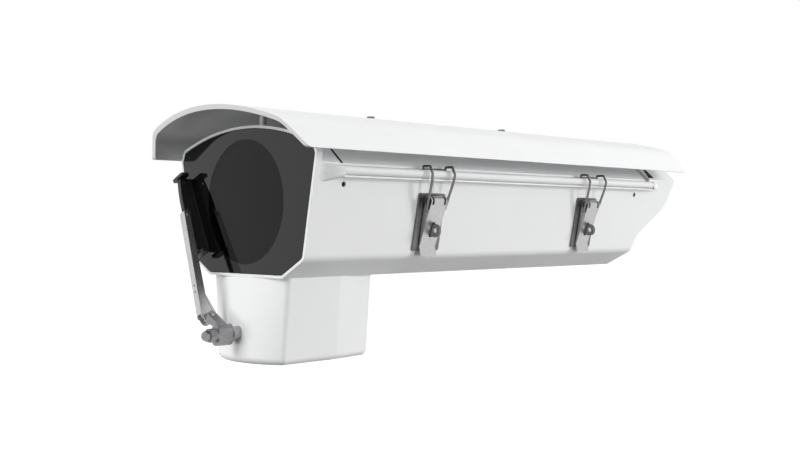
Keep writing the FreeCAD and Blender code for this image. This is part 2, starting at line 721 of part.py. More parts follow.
def lean(shape):
    """Turn a wiper piece from upright to its parked lean."""
    turned = shape.copy()
    turned.rotate(V(0, 0, shaft_z), Y_AXIS, -wiper_park_deg)
    return turned


def hub_face():
    """Y of the hub's face next to the bush."""
    return box_front_at_shaft() - bush_flange - seat_gap


def lift_point():
    """Lift pin centre in the upright wiper."""
    return V(arm_offset, hub_face() - hub_length - lift_ahead, shaft_z + lift_z)


def wiper_shaft():
    """Output shaft from the gearbox to the cap nut."""
    end = hub_face() - hub_length - nut_bore
    return rod(V(0, end, shaft_z), Y_AXIS, shaft_r, motor_face() + socket_depth - seat_gap - end)


def hub_collar():
    """Flat-sided block around the shaft, rounded at its top and bottom."""
    y0 = hub_face() - hub_length
    reach = hub_height / 2 - hub_half
    collar = block(-hub_half, hub_half, y0, y0 + hub_length, shaft_z - reach, shaft_z + reach)
    return collar.fuse([rod(V(0, y0, shaft_z + side * reach), Y_AXIS, hub_half, hub_length) for side in (-1, 1)])


def crank_span():
    """X of the crank's two faces beside the arm, in the upright wiper."""
    start = arm_offset + arm_width / 2 + seat_gap
    return start, start + hub_crank_width


def hub_crank():
    """Crank from the collar to the round end that holds the lift pin, in the upright wiper."""
    x0, x1 = crank_span()
    pin = lift_point()
    outline = [V(x0, 0, pin.z), V(x1, 0, pin.z + crank_shoulder), V(hub_half * 0.7, 0, shaft_z + hub_half * 1.2),
               V(0, 0, shaft_z + hub_half / 2), V(-hub_half / 2, 0, shaft_z + hub_half * 1.4),
               V(x0, 0, pin.z - hub_crank_r)]
    face = Part.Face(Part.makePolygon(outline + [outline[0]]))
    face.translate(V(0, pin.y - hub_crank_r, 0))
    return face.extrude(V(0, 2 * hub_crank_r, 0)).fuse(rod(V(x0, pin.y, pin.z), X_AXIS, hub_crank_r, x1 - x0))


def wiper_hub():
    """Hub on the shaft with a crank that carries the lift pin."""
    pin = lift_point()
    bore = rod(V(0, hub_face() - hub_length - 1, shaft_z), Y_AXIS, shaft_r, hub_length + 2)
    cross = rod(V(pin.x - arm_width, pin.y, pin.z), X_AXIS, lift_pin_r, 2 * arm_width + hub_crank_width)
    return hub_collar().fuse(lean(hub_crank())).cut([bore, lean(cross)])


def cap_nut():
    """Domed nut on the end of the shaft."""
    face = hub_face() - hub_length
    body = hexagon(V(0, face, shaft_z), -Y_AXIS, nut_flats, nut_length - nut_neck)
    dome = Part.makeSphere(dome_r, V(0, face - nut_length, shaft_z))
    neck = rod(V(0, face, shaft_z), -Y_AXIS, dome_r, nut_length)
    return lean(body.fuse([dome, neck]).cut(rod(V(0, face + 1, shaft_z), -Y_AXIS, shaft_r, nut_bore + 1)))


def lift_pin():
    """Pin that carries the arm on the hub's crank."""
    pin = lift_point()
    start = pin.x - arm_width / 2 - pin_proud
    return lean(rod(V(start, pin.y, pin.z), X_AXIS, lift_pin_r, crank_span()[1] + pin_proud - start))


def arm_point(height, behind):
    """Point of the upright arm's side view: height above the lift pin, behind the outer face."""
    pin = lift_point()
    low_y, tip_y = pin.y - arm_front, front_y - arm_tip_front
    return V(0, low_y + (tip_y - low_y) * height / arm_length + behind, pin.z + height)


def arm_slit():
    """Slit along the rear edge of the arm's flared base, through both walls."""
    slope = (arm_foot_depth - arm_knee_depth) / (arm_knee - arm_foot)
    rear_low = arm_foot_depth - slit_inset + slope * 2 * arm_foot
    rear_top = arm_foot_depth - slit_inset - slope * (slit_top - arm_foot)
    outline = [arm_point(-arm_foot, rear_low), arm_point(slit_top, rear_top),
               arm_point(slit_top, rear_top - slit_width), arm_point(-arm_foot, rear_low - slit_width)]
    return side_prism(outline, arm_offset - arm_width, arm_offset + arm_width)


def wiper_arm():
    """Folded channel from the lift pin up to the blade, flared at its base."""
    pin = lift_point()
    outline = [arm_point(arm_length, 0), arm_point(arm_chin, 0), arm_point(0, arm_front - arm_ear_r),
               arm_point(0, arm_front + arm_ear_r), arm_point(arm_foot, arm_foot_depth),
               arm_point(arm_knee, arm_knee_depth), arm_point(arm_length, arm_tip_depth)]
    half = arm_width / 2
    outer = side_prism(outline, pin.x - half, pin.x + half)
    outer = outer.fuse(rod(V(pin.x - half, pin.y, pin.z), X_AXIS, arm_ear_r, arm_width))
    inner_half = half - arm_sheet
    trough = [arm_point(-arm_length, arm_sheet), arm_point(-arm_length, 2 * arm_foot_depth),
              arm_point(2 * arm_length, 2 * arm_foot_depth), arm_point(2 * arm_length, arm_sheet)]
    cuts = [side_prism(trough, pin.x - inner_half, pin.x + inner_half), arm_slit(),
            block(pin.x - inner_half, pin.x + inner_half, pin.y - 2 * arm_front, pin.y,
                  pin.z - arm_front, pin.z + arm_foot),
            rod(V(pin.x - arm_width, pin.y, pin.z), X_AXIS, lift_pin_r + pin_gap, 2 * arm_width),
            rod(rocker_point() - X_AXIS * arm_width, X_AXIS, rocker_pin_r, 2 * arm_width)]
    for z in arm_hole_heights:
        cuts.append(rod(V(pin.x, pin.y - 2 * arm_front, pin.z + z), Y_AXIS, arm_hole_r, 2 * arm_foot_depth))
    return lean(outer.cut(cuts))


def rocker_point():
    """Pin that joins the blade to the arm, in the upright wiper."""
    pin = lift_point()
    return V(pin.x, front_y - rocker_ahead, pin.z + arm_length - rocker_below_tip)


def rocker_pin():
    """Pin at the arm's tip, fixed in the arm."""
    point = rocker_point()
    half = arm_width / 2 + pin_proud
    return lean(rod(V(point.x - half, point.y, point.z), X_AXIS, rocker_pin_r, 2 * half))


def blade_span():
    """Lowest and highest Z of the blade in the upright wiper."""
    middle = rocker_point().z + blade_shift
    return middle - blade_length / 2, middle + blade_length / 2


def rivet_rods(proud):
    """Rivets across the blade holder, in the upright wiper."""
    point = rocker_point()
    half = holder_width / 2 + proud
    return [rod(V(point.x - half, front_y - ahead, point.z + z), X_AXIS, blade_rivet_r, 2 * half)
            for z, ahead in blade_rivets_at]


def blade_holder():
    """Thin bowed holder that grips the rubber and turns on the rocker pin."""
    low, high = blade_span()
    point = rocker_point()
    half = holder_width / 2
    back, end, crown = front_y - holder_back, front_y - holder_end, front_y - holder_crown
    middle = (low + high) / 2
    bow = Part.Arc(V(0, end, low), V(0, crown, middle), V(0, end, high)).toShape()
    rest = Part.makePolygon([V(0, end, high), V(0, back, high), V(0, back, low), V(0, end, low)])
    body = Part.Face(Part.Wire([bow] + rest.Edges))
    body.translate(V(point.x - half, 0, 0))
    body = body.extrude(V(holder_width, 0, 0))
    lug = rod(point - X_AXIS * half, X_AXIS, rocker_lug_r, holder_width)
    slot = block(point.x - half + holder_sheet, point.x + half - holder_sheet, back - holder_grip, back + 1,
                 low - 1, high + 1)
    hole = rod(point - X_AXIS * arm_width, X_AXIS, rocker_pin_r + pin_gap, 2 * arm_width)
    return lean(body.fuse(lug).cut([slot, hole] + rivet_rods(1.0)))


def blade_rivets():
    """Rivets that hold the rubber in its holder."""
    return Part.Compound([lean(rivet) for rivet in rivet_rods(pin_proud / 2)])


def squeegee():
    """Rubber strip with a thin wiping lip."""
    low, high = blade_span()
    x = rocker_point().x
    y0 = front_y - holder_back - holder_grip
    neck_y = front_y - holder_back + lip_taper
    y_lip = front_y + glass_inset - blade_foot_gap
    half, lip = holder_width / 2 - holder_sheet, lip_width / 2
    right = [V(x + half, y0, low), V(x + half, neck_y, low), V(x + lip, neck_y + lip_taper, low), V(x + lip, y_lip, low)]
    left = [V(2 * x - p.x, p.y, p.z) for p in reversed(right)]
    strip = Part.Face(Part.makePolygon(right + left + [right[0]])).extrude(V(0, 0, high - low))
    return lean(strip.cut(rivet_rods(0.0)))


def blade_end_clips():
    """Clips with ears over both ends of the blade holder."""
    low, high = blade_span()
    x = rocker_point().x
    y0 = front_y - holder_end - clip_ahead
    clips = []
    for z0 in (low - clip_thick, high):
        plate = block(x - clip_half, x + clip_half, y0, y0 + clip_depth, z0, z0 + clip_thick)
        plate = plate.makeFillet(clip_round, [e for e in plate.Edges if e.BoundBox.ZLength > clip_thick / 2])
        clips.append(lean(plate))
    return Part.Compound(clips)


def wall_x(z):
    """X of the side wall's surface at a height."""
    share = (z - chamfer_z) / (shoulder_z - chamfer_z)
    return chamfer_half + (shoulder_half - chamfer_half) * share


def wall_slope():
    """Angle of the side wall from the vertical, in degrees."""
    return math.degrees(math.atan2(shoulder_half - chamfer_half, shoulder_z - chamfer_z))


def stand_on_wall(shape, setback, z):
    """Move a piece drawn flat at the origin (out along +X, up along +Z) onto the side wall."""
    moved = shape.copy()
    moved.rotate(V(), Y_AXIS, wall_slope())
    moved.translate(V(wall_x(z), front_y + setback, z))
    return moved


def pivot_on_wall():
    """Lever pivot in the flat drawing of the latch: height up the wall and standoff."""
    tilt = math.radians(wall_slope())
    dx = lever_pivot_x - wall_x(plate_top_z)
    dz = lever_pivot_z - plate_top_z
    return V(dx * math.cos(tilt) - dz * math.sin(tilt), 0, dx * math.sin(tilt) + dz * math.cos(tilt))


def latch_base(setback):
    """Plate on the side wall with two ears for the lever's pin."""
    pin = pivot_on_wall()
    half = plate_width / 2
    plate = block(0, plate_thick, -half, half, -plate_height, 0)
    plate = plate.makeFillet(plate_round, [e for e in plate.Edges if e.BoundBox.XLength > plate_thick / 2
                                           and e.BoundBox.YLength < 0.1 and e.BoundBox.ZLength < 0.1])
    ears = []
    for y0 in (-ear_out, ear_out - ear_sheet):
        ear = block(0, pin.x, y0, y0 + ear_sheet, pin.z - ear_below, pin.z + ear_r)
        ears.append(ear.fuse(rod(V(pin.x, y0, pin.z), Y_AXIS, ear_r, ear_sheet)))
    solid = plate.fuse(ears)
    cuts = [rod(V(pin.x, -half, pin.z), Y_AXIS, latch_pin_r, plate_width)]
    for drop in rivet_drops:
        cuts.append(rod(V(-1, 0, -drop), X_AXIS, screw_r, plate_thick + 2))
    return stand_on_wall(solid.cut(cuts), setback, plate_top_z)


def latch_rivets():
    """Rivets that hold the latch plates to the casing."""
    rivets = []
    for setback in latch_setbacks:
        for drop in rivet_drops:
            head = rod(V(plate_thick, 0, -drop), X_AXIS, rivet_head_r, rivet_head_h)
            stem = rod(V(0, 0, -drop), X_AXIS, screw_r, plate_thick)
            rivets.append(stand_on_wall(head.fuse(stem), setback, plate_top_z))
    return Part.Compound(rivets)


def staple(setback):
    """Padlock eye that stands on the plate and passes through the lever."""
    z = pivot_on_wall().z - staple_drop
    eye_x = lever_face(staple_drop) + staple_proud
    ring = rod(V(eye_x, -staple_thick / 2, z), Y_AXIS, staple_r, staple_thick)
    neck = block(plate_thick, eye_x, -staple_thick / 2, staple_thick / 2, z - staple_r, z + staple_r)
    hole = rod(V(eye_x, -staple_thick, z), Y_AXIS, staple_hole_r, 2 * staple_thick)
    under = block(-plate_thick, plate_thick, -staple_thick, staple_thick, z - 2 * staple_r, z + 2 * staple_r)
    return stand_on_wall(ring.fuse(neck).cut([hole, under]), setback, plate_top_z)


def lever_face(drop):
    """Standoff of the lever's outer face from the wall, at a drop below the pivot."""
    pin = pivot_on_wall()
    top = pin.x + lever_curl_r
    low = plate_thick + lever_sheet + seat_gap
    return top + (low - top) * drop / lever_length


def latch_pin(setback):
    """Pin of the lever, fixed in the ears."""
    pin = pivot_on_wall()
    half = lever_width / 2 + pin_proud / 2
    rod_shape = rod(V(pin.x, -half, pin.z), Y_AXIS, latch_pin_r, 2 * half)
    return stand_on_wall(rod_shape, setback, plate_top_z)


def bail_point():
    """Bail pivot in the frame of the part, without its Y."""
    return V(lever_pivot_x - bail_in, 0, lever_pivot_z - bail_drop)


def latch_lever(setback):
    """Lever: channel with a curled top, a slot for the staple and a bent lip."""
    pin = pivot_on_wall()
    half = lever_width / 2
    top_out, low_out = lever_face(0), lever_face(lever_length)
    end_z = pin.z - lever_length
    side = [V(top_out, -half, pin.z), V(low_out, -half, end_z), V(low_out - lever_sheet, -half, end_z),
            V(plate_thick + 2 * seat_gap, -half, end_z + lever_foot_up),
            V(plate_thick + 2 * seat_gap, -half, pin.z - bail_drop), V(pin.x - ear_r, -half, pin.z)]
    channel = Part.Face(Part.makePolygon(side + [side[0]])).extrude(Y_AXIS * lever_width)
    channel = channel.fuse(rod(V(pin.x, -half, pin.z), Y_AXIS, lever_curl_r, lever_width))
    in_half = half - lever_sheet
    gutter = [V(top_out - lever_sheet, -in_half, pin.z), V(low_out - lever_sheet, -in_half, end_z),
              V(-lever_length, -in_half, end_z), V(-lever_length, -in_half, pin.z)]
    gutter = Part.Face(Part.makePolygon(gutter + [gutter[0]])).extrude(Y_AXIS * (2 * in_half))
    hollow = rod(V(pin.x, -in_half, pin.z), Y_AXIS, lever_curl_r - lever_sheet, 2 * in_half)
    mouth = block(0, pin.x, -in_half, in_half, pin.z - lever_curl_r, pin.z + lever_curl_r + 1)
    solid = channel.cut([gutter, hollow, mouth])
    lip = block(-lever_sheet, 0, -half, half, -lever_lip, 0)
    lip.rotate(V(), Y_AXIS, -lever_lip_deg)
    lip.translate(V(low_out, 0, end_z + lever_sheet / 2))
    z = pin.z - staple_drop
    slot_y, slot_z = staple_thick / 2 + slot_play_side, staple_r + slot_play_end
    slot = block(0, 2 * top_out, -slot_y, slot_y, z - slot_z, z + slot_z)
    bore = rod(V(pin.x, -half - 1, pin.z), Y_AXIS, latch_pin_r + pin_gap, lever_width + 2)
    ear_in = ear_out - ear_sheet - seat_gap
    ear_slots = [block(0, 2 * top_out, y, y + in_half - ear_in, pin.z - ear_r, pin.z + 2 * lever_curl_r)
                 for y in (-in_half, ear_in)]
    solid = stand_on_wall(solid.fuse(lip).cut([slot, bore] + ear_slots), setback, plate_top_z)
    wire_hole = rod(bail_point() + V(0, front_y + setback - half - 1, 0), Y_AXIS, wire_r + pin_gap, lever_width + 2)
    return solid.cut(wire_hole)


def wire(points):
    """Round wire along straight runs with rounded corners: (point, corner radius) each."""
    runs = []
    last = points[0][0]
    for i in range(1, len(points) - 1):
        start, middle, end = corner_arc(points[i - 1][0], points[i][0], points[i + 1][0], points[i][1])
        if (start - last).Length > pin_gap:
            runs.append(rod(last, start - last, wire_r, (start - last).Length))
        bend = Part.Arc(start, middle, end).toShape()
        ring = Part.Face(Part.Wire([Part.makeCircle(wire_r, start, bend.tangentAt(bend.FirstParameter))]))
        turn = math.degrees(bend.LastParameter - bend.FirstParameter)
        runs.append(ring.revolve(bend.Curve.Center, bend.Curve.Axis, turn))
        last = end
    runs.append(rod(last, points[-1][0] - last, wire_r, (points[-1][0] - last).Length))
    return runs[0].fuse(runs[1:])


def latch_bail(setback):
    """Wire loop from the lever, over the rail's bead and back, with its crossbar behind the bead."""
    low = bail_point()
    end_y = -(lever_width / 2 - lever_sheet - seat_gap)
    bar_x, bar_z = bead_x - hook_in, bead_z + hook_up
    bend = wire_r + hook_bend_in
    out_x, over_z = rail_half + wire_r + bail_bulge, bar_z + 2 * bend + hook_run
    foot = lever_width / 2 + seat_gap + wire_r
    knee_y = foot + (bail_half - foot) * (bail_knee_z - low.z) / (bead_z - low.z)
    half = [(V(low.x, end_y, low.z), 0),
            (V(low.x, -foot, low.z), bend),
            (V(out_x - bail_knee_in, -knee_y, bail_knee_z), 8.0),
            (V(out_x, -bail_half, bead_z), 3.0),
            (V(out_x - bail_bulge, -bail_half, over_z), 1.8),
            (V(bar_x, -bail_half, over_z), bend),
            (V(bar_x, -bail_half, bar_z), bend)]
    other = [(V(p.x, -p.y, p.z), r) for p, r in reversed(half)]
    solid = wire(half + other)
    solid.translate(V(0, front_y + setback, 0))
    return solid


def hinge_pin(setback):
    """Steel pin through the knuckles of one hinge."""
    (first, _), (last, length) = hinge_lug_spans(setback)[0]
    return knuckle(first - pin_proud, last + length - first + 2 * pin_proud, hinge_pin_r)


def camera_tray():
    """Folded tray that carries the camera, with two slots for its screws."""
    y0 = front_y + tray_setback
    z0 = post_height
    half = tray_width / 2
    base = block(-half, half, y0, y0 + tray_length, z0, z0 + tray_thick)
    for side in (-1, 1):
        x0 = half - tray_thick if side > 0 else -half
        base = base.fuse(block(x0, x0 + tray_thick, y0, y0 + tray_length, z0, z0 + tray_lip))
    cuts = [rod(V(x, y, z0 - 1), Z_AXIS, screw_r + screw_play, 5) for x, y in tray_posts()]
    middle = y0 + tray_length / 2
    for y in (middle - tray_slot_pitch / 2, middle + tray_slot_pitch / 2):
        reach = tray_slot_length / 2 - tray_slot_r
        slot = block(-tray_slot_r, tray_slot_r, y - reach, y + reach, z0 - 1, z0 + 5)
        for end in (y - reach, y + reach):
            slot = slot.fuse(rod(V(0, end, z0 - 1), Z_AXIS, tray_slot_r, 6))
        cuts.append(slot)
    return base.cut(cuts)


def screws_at(points, seat_z, length):
    """Pan-head screws that stand in posts."""
    screws = []
    for x, y in points:
        head = rod(V(x, y, seat_z), Z_AXIS, screw_head_r, screw_head_h)
        screws.append(head.fuse(rod(V(x, y, seat_z), -Z_AXIS, screw_r, length)))
    return Part.Compound(screws)


def terminal_board():
    """Circuit board for the wiper's supply."""
    y0 = front_y + board_setback
    half = board_width / 2
    board = block(-half, half, y0, y0 + board_length, post_height, post_height + board_thick)
    return board.cut([rod(V(x, y, post_height - 1), Z_AXIS, screw_r + screw_play, 5) for x, y in board_posts()])


def terminal_block():
    """Screw terminals on the board."""
    y0 = front_y + board_setback + board_length / 2 - terminal_depth / 2
    z0 = post_height + board_thick
    half = terminal_width / 2
    body = block(-half, half, y0, y0 + terminal_depth, z0, z0 + terminal_height)
    pitch = terminal_width / terminal_count
    cuts = []
    for i in range(terminal_count):
        x = -half + pitch * (i + 0.5)
        cuts.append(rod(V(x, y0 + terminal_depth / 2, z0 + terminal_height - 3), Z_AXIS, pitch * 0.3, 5))
        cuts.append(block(x - pitch * 0.3, x + pitch * 0.3, y0 - 1, y0 + 3, z0 + 2, z0 + 6))
    return body.cut(cuts)


def gland_bodies():
    """Threaded bodies of the cable glands, with their hexagons outside the wall."""
    parts = []
    for x in gland_xs:
        body = hexagon(V(), Z_AXIS, gland_flats, gland_hex)
        body = body.fuse([rod(V(0, 0, -wall - 6), Z_AXIS, gland_r, wall + 6),
                          rod(V(0, 0, gland_hex), Z_AXIS, gland_cap_r - 1.8, gland_cap_length - 3)])
        parts.append(place_gland(body.cut(rod(V(0, 0, -wall - 7), Z_AXIS, gland_bore_r + 1, FAR)), x))
    return Part.Compound(parts)


def gland_nuts():
    """Lock nuts of the glands inside the wall."""
    parts = []
    for x in gland_xs:
        nut = hexagon(V(0, 0, -wall - 3.5), Z_AXIS, gland_flats, 3.5)
        parts.append(place_gland(nut.cut(rod(V(0, 0, -wall - 9), Z_AXIS, gland_r, 12)), x))
    return Part.Compound(parts)


def gland_caps():
    """Domed clamping caps of the glands."""
    parts = []
    for x in gland_xs:
        low = gland_hex + seat_gap
        cap = rod(V(0, 0, low), Z_AXIS, gland_cap_r, gland_cap_length)
        cap = cap.makeFillet(2.5, [e for e in cap.Edges if e.BoundBox.ZMin > low + gland_cap_length - 0.01])
        cap = cap.cut([rod(V(0, 0, low - 1), Z_AXIS, gland_cap_r - 1.8, gland_cap_length - 2),
                       rod(V(0, 0, 0), Z_AXIS, gland_bore_r, FAR)])
        parts.append(place_gland(cap, x))
    return Part.Compound(parts)


def gland_seals():
    """Rubber seals that close the glands while no cable is fitted."""
    parts = []
    for x in gland_xs:
        seal = rod(V(0, 0, gland_hex - 4), Z_AXIS, gland_bore_r + 1, gland_cap_length + 0.5)
        seal = seal.cut(rod(V(0, 0, gland_hex + 3), Z_AXIS, gland_bore_r - 1, 30))
        parts.append(place_gland(seal, x))
    return Part.Compound(parts)


def wire_grommet():
    """Rubber grommet in the floor where the motor's leads come up."""
    y = front_y + 45
    ring = rod(V(0, y, 0.6), Z_AXIS, 8.0, wall - 0.6).fuse(rod(V(0, y, wall), Z_AXIS, 10.0, 2.0))
    return ring.cut(rod(V(0, y, -1), Z_AXIS, 4.0, 12))


def seal_strip():
    """Strip in the underside of the lid's foot, above the rim, on the +X side."""
    x0 = lid_edge_x() + seat_gap
    return block(x0, x0 + seal_width, lid_y0 + wall, lid_y1 - wall, rail_z, rail_z + seal_height)


def lid_seal():
    """Rubber seal along both edges of the lid."""
    return Part.Compound([seal_strip(), mirror_x(seal_strip())])


def build():
    """Every piece of the housing by name."""
    pieces = {
        "lower_casing": lower_casing(),
        "window_glass": window_glass(),
        "window_gasket": window_gasket(),
        "window_mask": window_mask(),
        "lid_cover": lid_cover(),
        "lid_seal": lid_seal(),
        "sunshield": sunshield(),
        "shield_spacers": shield_spacers(),
        "shield_screws": shield_screws(),
        "shield_rest_post": rest_post(),
        "motor_box": motor_box(),
        "motor_box_screws": box_screws(),
        "wiper_motor": wiper_motor(),
        "motor_clamp": motor_clamp(),
        "shaft_bush": shaft_bush(),
        "wiper_shaft": wiper_shaft(),
        "wiper_hub": wiper_hub(),
        "wiper_cap_nut": cap_nut(),
        "arm_lift_pin": lift_pin(),
        "wiper_arm": wiper_arm(),
        "blade_rocker_pin": rocker_pin(),
        "blade_holder": blade_holder(),
        "blade_rivets": blade_rivets(),
        "blade_end_clips": blade_end_clips(),
        "squeegee": squeegee(),
        "camera_tray": camera_tray(),
        "tray_screws": screws_at(tray_posts(), post_height + tray_thick, tray_thick + screw_grip),
        "terminal_board": terminal_board(),
        "board_screws": screws_at(board_posts(), post_height + board_thick, board_thick + screw_grip),
        "terminal_block": terminal_block(),
        "gland_bodies": gland_bodies(),
        "gland_nuts": gland_nuts(),
        "gland_caps": gland_caps(),
        "gland_seals": gland_seals(),
        "wire_grommet": wire_grommet(),
        "latch_rivets": latch_rivets(),
    }
    for name, setback in zip(("front", "rear"), latch_setbacks):
        pieces["latch_base_" + name] = latch_base(setback)
        pieces["latch_staple_" + name] = staple(setback)
        pieces["latch_pin_" + name] = latch_pin(setback)
        pieces["latch_lever_" + name] = latch_lever(setback)
        pieces["latch_bail_" + name] = latch_bail(setback)
    for name, setback in zip(("front", "rear"), hinge_setbacks):
        pieces["hinge_pin_" + name] = hinge_pin(setback)
    return pieces


def save(pieces):
    """Write one file per piece."""
    os.makedirs("parts", exist_ok=True)
    for name, shape in pieces.items():
        shape.exportStep("parts/" + name + ".step")
        print("%-20s solids %2d  faces %3d  volume %9.1f  valid %s"
              % (name, len(shape.Solids), len(shape.Faces), shape.Volume, shape.isValid()))


save(build())
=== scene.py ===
"""Looks of the camera housing: materials, small pieces on the solids, light, floor and camera.

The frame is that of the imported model: +Z up, window towards -Y, latches on +X. Lengths are metres, apart
from the small pieces, which are given in millimetres.
"""
import math

import bmesh
import bpy
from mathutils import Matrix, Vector


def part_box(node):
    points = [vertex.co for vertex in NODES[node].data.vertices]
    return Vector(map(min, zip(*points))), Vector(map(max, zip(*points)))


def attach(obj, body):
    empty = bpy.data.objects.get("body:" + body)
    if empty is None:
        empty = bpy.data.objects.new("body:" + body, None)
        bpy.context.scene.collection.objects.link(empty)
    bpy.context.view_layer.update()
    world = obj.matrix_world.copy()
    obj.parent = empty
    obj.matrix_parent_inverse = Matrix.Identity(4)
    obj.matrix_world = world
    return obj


MM = 0.001

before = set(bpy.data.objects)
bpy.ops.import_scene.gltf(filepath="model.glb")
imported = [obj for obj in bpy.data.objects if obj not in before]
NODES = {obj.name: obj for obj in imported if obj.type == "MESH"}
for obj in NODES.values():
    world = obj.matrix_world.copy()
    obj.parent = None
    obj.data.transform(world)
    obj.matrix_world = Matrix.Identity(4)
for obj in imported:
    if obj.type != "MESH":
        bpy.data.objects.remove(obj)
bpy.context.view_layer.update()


# Materials

NOISE_LOW, NOISE_HIGH = 0.3, 0.7      # most values of a noise lie between these


class Paint:
    """A node material with a few ways to vary it by noise in object space.

    Its plain colour and roughness stand for it wherever the nodes behind them aren't read.
    """

    def __init__(self, name, colour, roughness, metallic=0.0, ior=1.5):
        self.material = bpy.data.materials.new(name)
        self.material.use_nodes = True
        self.tree = self.material.node_tree
        self.shader = self.tree.nodes["Principled BSDF"]
        self.shader.inputs["Base Color"].default_value = (*colour, 1.0)
        self.shader.inputs["Roughness"].default_value = roughness
        self.shader.inputs["Metallic"].default_value = metallic
        self.shader.inputs["IOR"].default_value = ior
        self.place = self.tree.nodes.new("ShaderNodeTexCoord").outputs["Object"]

    def noise(self, scale, detail, stretch=(1.0, 1.0, 1.0), turn=(0.0, 0.0, 0.0)):
        """Noise from 0 to 1. The scale is in lumps per metre, and stretch divides it along each axis."""
        mapping = self.tree.nodes.new("ShaderNodeMapping")
        mapping.inputs["Rotation"].default_value = turn
        mapping.inputs["Scale"].default_value = [scale / s for s in stretch]
        noise = self.tree.nodes.new("ShaderNodeTexNoise")
        noise.inputs["Scale"].default_value = 1.0
        noise.inputs["Detail"].default_value = detail
        self.tree.links.new(self.place, mapping.inputs["Vector"])
        self.tree.links.new(mapping.outputs["Vector"], noise.inputs["Vector"])
        return noise.outputs["Fac"]

    def spread(self, value, low, high):
        """Maps the middle of a noise to the range from low to high."""
        node = self.tree.nodes.new("ShaderNodeMapRange")
        node.inputs["From Min"].default_value = NOISE_LOW
        node.inputs["From Max"].default_value = NOISE_HIGH
        node.inputs["To Min"].default_value = low
        node.inputs["To Max"].default_value = high
        self.tree.links.new(value, node.inputs["Value"])
        return node.outputs["Result"]

    def tone(self, value, first, second):
        """Varies the colour between two colours."""
        node = self.tree.nodes.new("ShaderNodeMix")
        node.data_type = "RGBA"
        node.inputs["A"].default_value = (*first, 1.0)
        node.inputs["B"].default_value = (*second, 1.0)
        self.tree.links.new(self.spread(value, 0.0, 1.0), node.inputs["Factor"])
        self.tree.links.new(node.outputs["Result"], self.shader.inputs["Base Color"])

    def gloss(self, value, low, high):
        """Varies the roughness between two values."""
        self.tree.links.new(self.spread(value, low, high), self.shader.inputs["Roughness"])

    def bump(self, value, depth, strength):
        """Roughens the surface by a small depth."""
        node = self.tree.nodes.new("ShaderNodeBump")
        node.inputs["Distance"].default_value = depth
        node.inputs["Strength"].default_value = strength
        self.tree.links.new(value, node.inputs["Height"])
        self.tree.links.new(node.outputs["Normal"], self.shader.inputs["Normal"])


def white_paint():
    """Satin powder coat: a trace of orange peel and of uneven tone."""
    paint = Paint("white_powder_coat", (0.86, 0.865, 0.87), roughness=0.42)
    paint.tone(paint.noise(14.0, 3.0), (0.845, 0.85, 0.856), (0.872, 0.876, 0.88))
    paint.gloss(paint.noise(60.0, 3.0), 0.37, 0.47)
    paint.bump(paint.noise(1100.0, 2.0), 0.04 * MM, 0.25)
    return paint.material


def brushed_steel():
    """Stainless sheet with fine upright brush lines."""
    paint = Paint("brushed_stainless", (0.5, 0.5, 0.49), roughness=0.36, metallic=1.0)
    lines = paint.noise(2600.0, 3.0, stretch=(1.0, 1.0, 45.0))
    paint.tone(lines, (0.44, 0.44, 0.44), (0.68, 0.68, 0.675))
    paint.gloss(paint.noise(1300.0, 2.0, stretch=(1.0, 1.0, 30.0)), 0.27, 0.45)
    paint.bump(lines, 0.03 * MM, 0.35)
    return paint.material


def shaded_plate_steel():
    """Darker copy of the brushed stainless for the latch plates and the eyes on them; its darkness paints the
    shade between the levers and the wall.
    """
    paint = Paint("plate_stainless_painted_shade", (0.2, 0.2, 0.2), roughness=0.42, metallic=1.0)
    lines = paint.noise(2600.0, 3.0, stretch=(1.0, 1.0, 45.0))
    # painted shade: these darker tones stand for the shade on the plates behind the levers
    paint.tone(lines, (0.12, 0.12, 0.12), (0.28, 0.28, 0.275))
    paint.gloss(paint.noise(1300.0, 2.0), 0.34, 0.5)
    paint.bump(lines, 0.03 * MM, 0.35)
    return paint.material


def spring_wire():
    """Drawn wire of the bails, and the small pins."""
    paint = Paint("drawn_wire", (0.2, 0.2, 0.2), roughness=0.28, metallic=1.0)
    paint.tone(paint.noise(1200.0, 3.0), (0.13, 0.13, 0.13), (0.26, 0.26, 0.255))
    paint.gloss(paint.noise(900.0, 2.0), 0.22, 0.36)
    return paint.material


def bright_steel():
    """Turned and polished pins, rivets, bush and shaft."""
    paint = Paint("polished_steel", (0.4, 0.4, 0.4), roughness=0.2, metallic=1.0)
    paint.tone(paint.noise(900.0, 3.0), (0.3, 0.3, 0.3), (0.48, 0.48, 0.475))
    paint.gloss(paint.noise(900.0, 2.0), 0.16, 0.3)
    return paint.material


ARM_LEAN_DEG = -25.2      # lean of the wiper arm, which its grain follows


def arm_steel():
    """Satin sheet of the wiper arm, with the grain along the arm."""
    paint = Paint("satin_arm_steel", (0.62, 0.62, 0.62), roughness=0.4, metallic=1.0)
    grain = paint.noise(2200.0, 3.0, stretch=(1.0, 1.0, 40.0), turn=(0.0, math.radians(ARM_LEAN_DEG), 0.0))
    paint.tone(grain, (0.52, 0.52, 0.52), (0.7, 0.7, 0.7))
    paint.gloss(paint.noise(700.0, 2.0), 0.34, 0.46)
    paint.bump(grain, 0.02 * MM, 0.3)
    return paint.material


def cast_metal():
    """Blasted and tumbled metal of the hub, the nut and the motor."""
    paint = Paint("blasted_casting", (0.3, 0.3, 0.31), roughness=0.4, metallic=1.0)
    paint.tone(paint.noise(1800.0, 3.0, stretch=(1.0, 6.0, 1.0)), (0.24, 0.24, 0.245), (0.36, 0.36, 0.37))
    paint.gloss(paint.noise(900.0, 2.0), 0.3, 0.46)
    paint.bump(paint.noise(2600.0, 3.0), 0.03 * MM, 0.35)
    return paint.material


